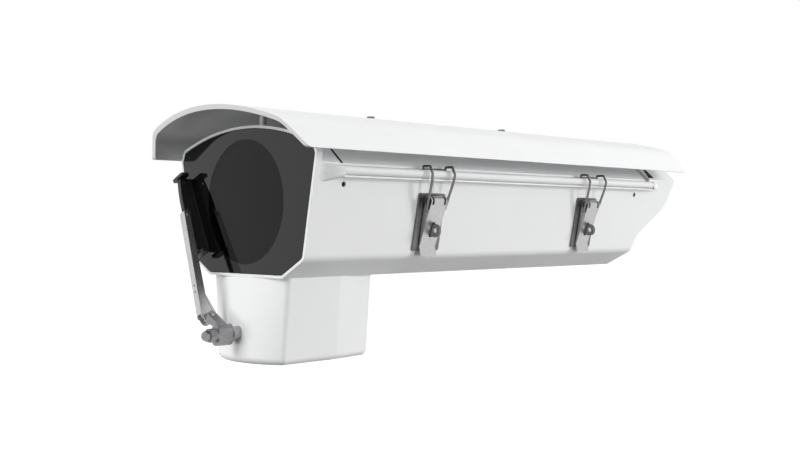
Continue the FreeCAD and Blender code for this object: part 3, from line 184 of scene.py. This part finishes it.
def black_plastic():
    """Fine-textured moulding of the wiper blade, the glands and the spacers."""
    paint = Paint("black_moulding", (0.014, 0.014, 0.015), roughness=0.45)
    paint.gloss(paint.noise(120.0, 3.0), 0.38, 0.52)
    paint.bump(paint.noise(2400.0, 2.0), 0.04 * MM, 0.3)
    return paint.material


def black_rubber():
    """Dull rubber of the seals and of the blade's edge."""
    paint = Paint("black_rubber", (0.011, 0.011, 0.011), roughness=0.7)
    paint.tone(paint.noise(80.0, 4.0), (0.008, 0.008, 0.008), (0.02, 0.02, 0.019))
    paint.bump(paint.noise(1800.0, 3.0), 0.05 * MM, 0.4)
    return paint.material


def dark_glass():
    """Tinted pane: a faint mirror over a nearly black inside."""
    paint = Paint("tinted_glass", (0.06, 0.06, 0.063), roughness=0.015, ior=1.27)
    paint.shader.inputs["Transmission Weight"].default_value = 1.0
    paint.gloss(paint.noise(30.0, 2.0), 0.01, 0.025)
    return paint.material


def window_print():
    """Glossy black print round the clear part of the window."""
    paint = Paint("black_glass_print", (0.004, 0.004, 0.0042), roughness=0.02, ior=1.46)
    paint.gloss(paint.noise(40.0, 2.0), 0.012, 0.03)
    return paint.material


def circuit_board():
    """Green solder mask with a faint weave of the laminate."""
    paint = Paint("green_solder_mask", (0.01, 0.12, 0.04), roughness=0.35)
    paint.tone(paint.noise(500.0, 1.0, stretch=(1.0, 3.0, 1.0)), (0.008, 0.09, 0.03), (0.014, 0.15, 0.05))
    return paint.material


def terminal_plastic():
    """Green moulding of the terminal block."""
    paint = Paint("green_terminal_moulding", (0.03, 0.2, 0.07), roughness=0.5)
    paint.gloss(paint.noise(200.0, 2.0), 0.42, 0.58)
    paint.bump(paint.noise(2000.0, 2.0), 0.03 * MM, 0.3)
    return paint.material


FINISHES = {
    white_paint: ("lid_cover", "lower_casing", "motor_box", "sunshield"),
    brushed_steel: ("board_screws", "camera_tray", "hinge_pin_front", "hinge_pin_rear",
                    "latch_lever_front", "latch_lever_rear", "motor_box_screws", "motor_clamp",
                    "shield_rest_post", "tray_screws"),
    shaded_plate_steel: ("latch_base_front", "latch_base_rear", "latch_staple_front",
                        "latch_staple_rear"),
    spring_wire: ("latch_bail_front", "latch_bail_rear", "latch_pin_front", "latch_pin_rear",
                  "shield_screws"),
    bright_steel: ("arm_lift_pin", "blade_rivets", "blade_rocker_pin", "latch_rivets", "shaft_bush",
                   "wiper_shaft"),
    arm_steel: ("wiper_arm",),
    cast_metal: ("wiper_cap_nut", "wiper_hub", "wiper_motor"),
    black_plastic: ("blade_end_clips", "blade_holder", "gland_bodies", "gland_caps", "gland_nuts",
                    "shield_spacers", "window_mask"),
    black_rubber: ("gland_seals", "lid_seal", "squeegee", "window_gasket", "wire_grommet"),
    dark_glass: ("window_glass",),
    circuit_board: ("terminal_board",),
    terminal_plastic: ("terminal_block",),
}


def dress_nodes():
    """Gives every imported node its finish, and returns the finishes by name."""
    made = {}
    for make, names in FINISHES.items():
        material = make()
        made[make.__name__] = material
        for name in names:
            mesh = NODES[name].data
            mesh.materials.clear()
            mesh.materials.append(material)
    return made


# Meshes of the small pieces

SMOOTH_DEG = 40.0      # faces that meet at a sharper angle keep their edge


def skin(mesh, rings, closed=False, unit=MM):
    """Faces from each ring of points to the next, in a closed row or with a cap at both ends."""
    loops = [[mesh.verts.new(Vector(point) * unit) for point in ring] for ring in rings]
    following = loops[1:] + loops[:1] if closed else loops[1:]
    for first, second in zip(loops, following):
        for i in range(len(first)):
            j = (i + 1) % len(first)
            mesh.faces.new((first[i], first[j], second[j], second[i]))
    if not closed:
        mesh.faces.new(loops[0])
        mesh.faces.new(loops[-1])


def circle(radius, steps):
    """Points of a circle round the origin."""
    turns = [math.tau * i / steps for i in range(steps)]
    return [(radius * math.cos(turn), radius * math.sin(turn)) for turn in turns]


def between(first, second, share):
    """Value on the way from the first to the second."""
    return first + (second - first) * share


def add_piece(name, mesh, material, body, smooth=True):
    """Turns a mesh into a piece that rides on a body."""
    bmesh.ops.recalc_face_normals(mesh, faces=mesh.faces)
    data = bpy.data.meshes.new(name)
    mesh.to_mesh(data)
    mesh.free()
    data.materials.append(material)
    for face in data.polygons:
        face.use_smooth = smooth and len(face.vertices) == 4
    data.set_sharp_from_angle(angle=math.radians(SMOOTH_DEG))
    piece = bpy.data.objects.new(name, data)
    bpy.context.collection.objects.link(piece)
    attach(piece, body)


# Rail ends, in millimetres. A setback is the distance behind the casing's front face.

FRONT_Y = -210.0
INSIDE_X = 70.0                            # within the wall, where the sections end
RAIL_FRONT, RAIL_REAR = 20.35, 380.1       # setbacks of the rail's two ends
RAIL_OUT = 79.0                            # half width over the rails
RAIL_LOW, RAIL_HIGH = 64.8, 72.2           # underside and top of the rail
ROOT_SETBACK = 4.6                         # where the swept lump starts
ROOT_OUT = 73.0                            # half width over the lumps' start
ROOT_LOW, ROOT_HIGH = 60.8, 74.4           # its underside and top
ROOT_LEAN = 0.19                           # way out for each millimetre up, as the wall leans
ROOT_RADIUS, TIP_RADIUS = 2.2, 1.9         # outer corners of the sections
TIP_LENGTH = 10.8
TIP_IN, TIP_RISE, TIP_DROP = 4.6, 1.6, 1.8     # how far the tip's outer face, underside and top draw in
CORNER_STEPS, SWEEP_STEPS = 6, 8


def rail_section(setback, out_x, low, high, radius, lean=0.0):
    """Bar section with two rounded outer corners, at a setback, leaning out towards its top."""
    y = FRONT_Y + setback
    ring = [(INSIDE_X, y, low)]
    for centre_z, start_deg in ((low + radius, -90.0), (high - radius, 0.0)):
        for i in range(CORNER_STEPS + 1):
            turn = math.radians(start_deg + 90.0 * i / CORNER_STEPS)
            z = centre_z + radius * math.sin(turn)
            ring.append((out_x - radius + radius * math.cos(turn) + lean * (z - (low + high) / 2), y, z))
    ring.append((INSIDE_X, y, high))
    return ring


def root_section(share):
    """Section of the swept lump, from the front frame (0) to the rail (1)."""
    ease = share * share * (3.0 - 2.0 * share)
    return rail_section(between(ROOT_SETBACK, RAIL_FRONT, share), between(ROOT_OUT, RAIL_OUT, ease),
                        between(ROOT_LOW, RAIL_LOW, ease), between(ROOT_HIGH, RAIL_HIGH, ease),
                        ROOT_RADIUS, ROOT_LEAN * (1.0 - ease))


def tip_section(share):
    """Section of the rounded rear tip, from the rail (0) to its end (1)."""
    sink = 1.0 - math.sqrt(1.0 - share * share)
    return rail_section(RAIL_REAR + TIP_LENGTH * share, RAIL_OUT - TIP_IN * sink,
                        RAIL_LOW + TIP_RISE * sink, RAIL_HIGH - TIP_DROP * sink, TIP_RADIUS)


def add_rail_ends(finishes):
    """Swept lumps that carry the rail into the front frame, and its rounded rear tips."""
    mesh = bmesh.new()
    shares = [i / SWEEP_STEPS for i in range(SWEEP_STEPS + 1)]
    for side in (1, -1):
        for section in (root_section, tip_section):
            rings = [[(side * x, y, z) for x, y, z in section(share)] for share in shares]
            skin(mesh, rings)
    add_piece("rail_ends", mesh, finishes["white_paint"], "housing")


# Black strips on the roof's flank that paint the shadow in the step and gap at the lid's two ends, in
# millimetres

FLANK_FOOT = (70.95, 74.0)                 # half width and height where the flank starts
FLANK_DEG, FLANK_LENGTH = 41.4, 24.0

# The setbacks of a strip's two edges, how much wider its foot is, how high its face stands over the flank,
# and its thickness.
FRONT_SHADOW_STRIP = (21.4, 25.2, 0.0, 0.4, 0.7)
TAIL_SHADOW_STRIP = (387.0, 389.0, 5.5, 2.75, 0.9)
STRIP_STEPS = 6


def flank_shadow_strip(mesh, side, front, rear, widening, face, thick):
    """Thin black strip up the flank on one side of the roof, a painted shadow."""
    slope = math.radians(FLANK_DEG)
    up, out = (-math.cos(slope), math.sin(slope)), (math.sin(slope), math.cos(slope))
    front_y, rear_y = FRONT_Y + front, FRONT_Y + rear
    rings = []
    for i in range(STRIP_STEPS + 1):
        share = i / STRIP_STEPS
        start_y = front_y - widening * (1.0 - share) ** 3
        ring = []
        for y, height in ((start_y, face - thick), (rear_y, face - thick), (rear_y, face), (start_y, face)):
            x = FLANK_FOOT[0] + up[0] * FLANK_LENGTH * share + out[0] * height
            z = FLANK_FOOT[1] + up[1] * FLANK_LENGTH * share + out[1] * height
            ring.append((side * x, y, z))
        rings.append(ring)
    skin(mesh, rings)


def add_painted_shadow_strips(finishes):
    """Black strips that paint the shadow at the lid's two ends: on the lid in front, on the casing behind."""
    for name, body, strip in (("lid_front_painted_shadow", "lid", FRONT_SHADOW_STRIP), ("tail_painted_shadow", "housing", TAIL_SHADOW_STRIP)):
        mesh = bmesh.new()
        for side in (1, -1):
            flank_shadow_strip(mesh, side, *strip)
        # painted shadow: black rubber stands for the dark step and gap at the lid's ends
        add_piece(name, mesh, finishes["black_rubber"], body)


# Black discs that paint the shade inside the side wall's small holes, in millimetres

WALL_TOP, WALL_LOW = (74.2, 74.0), (62.4, 12.2)      # half width and height at two places on the wall
HOLE_R, HOLE_Z, HOLE_SETBACKS = 1.72, 60.5, (25.3, 360.0)
DISC_RECESS = 1.0
DISC_PROFILE = ((HOLE_R, -1.6), (HOLE_R, -0.3), (0.9 * HOLE_R, 0.0), (0.5, 0.2))      # radius, and way out
DISC_STEPS = 24


def add_hole_shade_discs(finishes):
    """Black discs that paint the shade in the small holes of the side wall, slightly domed and recessed."""
    mesh = bmesh.new()
    share = (HOLE_Z - WALL_LOW[1]) / (WALL_TOP[1] - WALL_LOW[1])
    face = between(WALL_LOW[0], WALL_TOP[0], share) - DISC_RECESS
    for setback in HOLE_SETBACKS:
        rings = [[(face + out, FRONT_Y + setback + u, HOLE_Z + v) for u, v in circle(radius, DISC_STEPS)]
                 for radius, out in DISC_PROFILE]
        skin(mesh, rings)
    # painted shade: black discs deep in the holes stand for the dark inside of the holes
    add_piece("side_hole_painted_shade", mesh, finishes["black_rubber"], "housing")


# Black rings that paint the shade in the gap between pin and curl at the levers' ends, in millimetres

LATCHES = (("front", 107.6), ("rear", 290.6))        # setback of each latch's middle
PIVOT_X, PIVOT_Z = 75.0, 51.0
LEVER_HALF = 7.8
PIN_R, CURL_R = 1.25, 2.75                           # the pin, and the hollow of the curl

# Radius, and distance from the end of the curl.
SHADE_RING_PROFILE = ((PIN_R, 0.02), (CURL_R, 0.02), (CURL_R, 0.14), (CURL_R - 0.3, 0.2), (PIN_R, 0.2))
SHADE_RING_STEPS = 32


def add_curl_shade_rings(finishes):
    """Black rings on the pin that paint the shade in the gap at both ends of each lever's curl."""
    for name, setback in LATCHES:
        mesh = bmesh.new()
        for side in (1, -1):
            end_y = FRONT_Y + setback + side * LEVER_HALF
            rings = [[(PIVOT_X + u, end_y + side * off, PIVOT_Z + v) for u, v in circle(radius, SHADE_RING_STEPS)]
                     for radius, off in SHADE_RING_PROFILE]
            skin(mesh, rings, closed=True)
        # painted shade: black rings stand for the dark gap between the pin and the curl
        add_piece("curl_shade_rings_" + name, mesh, finishes["black_plastic"], "latch_lever_" + name)


# Print on the window, in metres

EYE_CENTRE, EYE_RADIUS = (0.0, 0.050), 0.0418
PRINT_AHEAD, PRINT_THICK = 0.00008, 0.00006          # gap in front of the pane, and thickness
PRINT_MARGIN = 0.0002                                # free edge of the pane
PRINT_STEP = 0.002
SAME_PLACE, DIGITS = 1e-6, 6                         # nearer than this, two points are one


def pane_outline():
    """Points of the pane's front edge, as (x, z), in order round the eye."""
    mesh = NODES["window_glass"].data
    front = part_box("window_glass")[0].y
    points = {(round(v.co.x, DIGITS), round(v.co.z, DIGITS)) for v in mesh.vertices
              if v.co.y < front + SAME_PLACE}
    return sorted(points, key=lambda p: math.atan2(p[1] - EYE_CENTRE[1], p[0] - EYE_CENTRE[0]))


def along_edges(points, step):
    """Points at most a step apart along a closed outline."""
    result = []
    for first, second in zip(points, points[1:] + points[:1]):
        parts = max(1, math.ceil(math.dist(first, second) / step))
        for i in range(parts):
            result.append([a + (b - a) * i / parts for a, b in zip(first, second)])
    return result


def print_on_window():
    """Thin black layer on the pane, from its edge to the round clear part."""
    outline = along_edges(pane_outline(), PRINT_STEP)
    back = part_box("window_glass")[0].y - PRINT_AHEAD
    front = back - PRINT_THICK
    rings = []
    for y, inner in ((front, False), (front, True), (back, True), (back, False)):
        ring = []
        for x, z in outline:
            out = Vector((x - EYE_CENTRE[0], 0.0, z - EYE_CENTRE[1]))
            reach = EYE_RADIUS if inner else out.length - PRINT_MARGIN
            spot = out.normalized() * reach
            ring.append((EYE_CENTRE[0] + spot.x, y, EYE_CENTRE[1] + spot.z))
        rings.append(ring)
    mesh = bmesh.new()
    skin(mesh, rings, closed=True, unit=1.0)
    add_piece("window_print", mesh, window_print(), "housing", smooth=False)


# Light, floor and camera

CAMERA_PLACE, CAMERA_AIM = (0.5725, -0.6304, 0.0345), (-0.7104, 0.7038, 0.0)
SENSOR_MM, LENS_MM = 36.0, 47.25

# Height on the dome, from straight down (0) to straight up (1), and the light that comes from there.
DOME = ((0.0, 0.04), (0.42, 0.06), (0.55, 0.36), (0.75, 0.56), (1.0, 0.62))

FLOOR_Z, FLOOR_SIZE = -0.42, 24.0
FLOOR_BOUNCE = 0.06      # how much light the floor throws back on the object
FLOOR_SEEN = 0.6         # how pale the lit floor looks to the camera, under its own glow
FLOOR_GLOW = 0.8

# Name, place, the point that the lamp faces, its side and its watts.
LAMPS = (
    ("key", (2.0, 2.2, 0.6), (0.0, 0.0, 0.05), 0.7, 49.0),
    ("front", (-0.3, -1.9, 1.0), (0.0, -0.1, 0.02), 1.0, 22.0),
    ("front_low", (-0.6, -2.2, -0.2), (0.0, -0.1, 0.02), 0.8, 16.0),
    ("low_side", (1.9, 0.4, -0.3), (0.0, 0.0, 0.02), 0.6, 17.5),
    ("left", (-2.2, 0.6, 0.4), (0.0, 0.0, 0.02), 1.0, 14.0),
)


def grey(level):
    """Opaque grey of a level."""
    return (level, level, level, 1.0)


def look_along(item, direction):
    """Turns a camera or lamp along a direction, upright."""
    item.rotation_mode = "QUATERNION"
    item.rotation_quaternion = Vector(direction).to_track_quat("-Z", "Y")


def add_camera():
    """The photo's camera."""
    data = bpy.data.cameras.new("photo_camera")
    data.sensor_width = SENSOR_MM
    data.lens = LENS_MM
    camera = bpy.data.objects.new("photo_camera", data)
    camera.location = CAMERA_PLACE
    look_along(camera, CAMERA_AIM)
    bpy.context.collection.objects.link(camera)
    bpy.context.scene.camera = camera


def seen_directly(tree):
    """1 for rays from the camera, a mirror or glass, and 0 for the light that falls on the object."""
    path = tree.nodes.new("ShaderNodeLightPath")
    total = path.outputs["Is Camera Ray"]
    for name in ("Is Glossy Ray", "Is Transmission Ray"):
        node = tree.nodes.new("ShaderNodeMath")
        node.operation = "MAXIMUM"
        tree.links.new(total, node.inputs[0])
        tree.links.new(path.outputs[name], node.inputs[1])
        total = node.outputs["Value"]
    return total


def mix_shaders(tree, factor, first, second):
    """The first shader where the factor is 0, and the second where it is 1."""
    node = tree.nodes.new("ShaderNodeMixShader")
    tree.links.new(factor, node.inputs["Fac"])
    tree.links.new(first, node.inputs[1])
    tree.links.new(second, node.inputs[2])
    return node.outputs["Shader"]


def add_world():
    """White seen directly; as light, a soft dome that is weaker from below."""
    world = bpy.data.worlds.new("studio")
    world.use_nodes = True
    bpy.context.scene.world = world
    tree = world.node_tree
    tree.nodes.clear()
    place = tree.nodes.new("ShaderNodeTexCoord")
    split = tree.nodes.new("ShaderNodeSeparateXYZ")
    height = tree.nodes.new("ShaderNodeMapRange")
    height.inputs["From Min"].default_value = -1.0
    ramp = tree.nodes.new("ShaderNodeValToRGB")
    for i, (at, level) in enumerate(DOME):
        stop = ramp.color_ramp.elements[i] if i < 2 else ramp.color_ramp.elements.new(at)
        stop.position = at
        stop.color = grey(level)
    light = tree.nodes.new("ShaderNodeBackground")
    shown = tree.nodes.new("ShaderNodeBackground")
    shown.inputs["Color"].default_value = grey(1.0)
    out = tree.nodes.new("ShaderNodeOutputWorld")
    tree.links.new(place.outputs["Generated"], split.inputs["Vector"])
    tree.links.new(split.outputs["Z"], height.inputs["Value"])
    tree.links.new(height.outputs["Result"], ramp.inputs["Fac"])
    tree.links.new(ramp.outputs["Color"], light.inputs["Color"])
    mixed = mix_shaders(tree, seen_directly(tree), light.outputs["Background"], shown.outputs["Background"])
    tree.links.new(mixed, out.inputs["Surface"])


def floor_material():
    """White to the eye, with the object's shadow; a dimmer bounce on the object; clear from below."""
    material = bpy.data.materials.new("pale_floor")
    material.use_nodes = True
    tree = material.node_tree
    tree.nodes.clear()
    bounce = tree.nodes.new("ShaderNodeBsdfDiffuse")
    bounce.inputs["Color"].default_value = grey(FLOOR_BOUNCE)
    shadowed = tree.nodes.new("ShaderNodeBsdfDiffuse")
    shadowed.inputs["Color"].default_value = grey(FLOOR_SEEN)
    glow = tree.nodes.new("ShaderNodeEmission")
    glow.inputs["Strength"].default_value = FLOOR_GLOW
    lit = tree.nodes.new("ShaderNodeAddShader")
    tree.links.new(shadowed.outputs["BSDF"], lit.inputs[0])
    tree.links.new(glow.outputs["Emission"], lit.inputs[1])
    plain = tree.nodes.new("ShaderNodeEmission")
    path = tree.nodes.new("ShaderNodeLightPath")
    clear = tree.nodes.new("ShaderNodeBsdfTransparent")
    side = tree.nodes.new("ShaderNodeNewGeometry")
    out = tree.nodes.new("ShaderNodeOutputMaterial")
    shown = mix_shaders(tree, path.outputs["Is Camera Ray"], plain.outputs["Emission"], lit.outputs["Shader"])
    from_above = mix_shaders(tree, seen_directly(tree), bounce.outputs["BSDF"], shown)
    sheet = mix_shaders(tree, side.outputs["Backfacing"], from_above, clear.outputs["BSDF"])
    tree.links.new(sheet, out.inputs["Surface"])
    return material


def add_floor():
    """Plain floor under the object."""
    bpy.ops.mesh.primitive_plane_add(size=FLOOR_SIZE, location=(0.0, 0.0, FLOOR_Z))
    floor = bpy.context.object
    floor.name = "floor"
    floor.data.materials.append(floor_material())


def add_lamp(name, place, target, size, power):
    """Soft square lamp that neither the camera nor a mirror shows."""
    data = bpy.data.lights.new(name, "AREA")
    data.shape = "SQUARE"
    data.size = size
    data.energy = power
    lamp = bpy.data.objects.new(name, data)
    lamp.location = place
    look_along(lamp, Vector(target) - Vector(place))
    lamp.visible_camera = False
    lamp.visible_glossy = False
    bpy.context.collection.objects.link(lamp)


bpy.context.scene.view_settings.view_transform = "Standard"
add_camera()
add_world()
add_floor()
for lamp_values in LAMPS:
    add_lamp(*lamp_values)
made_finishes = dress_nodes()
print_on_window()
add_rail_ends(made_finishes)
add_painted_shadow_strips(made_finishes)
add_hole_shade_discs(made_finishes)
add_curl_shade_rings(made_finishes)
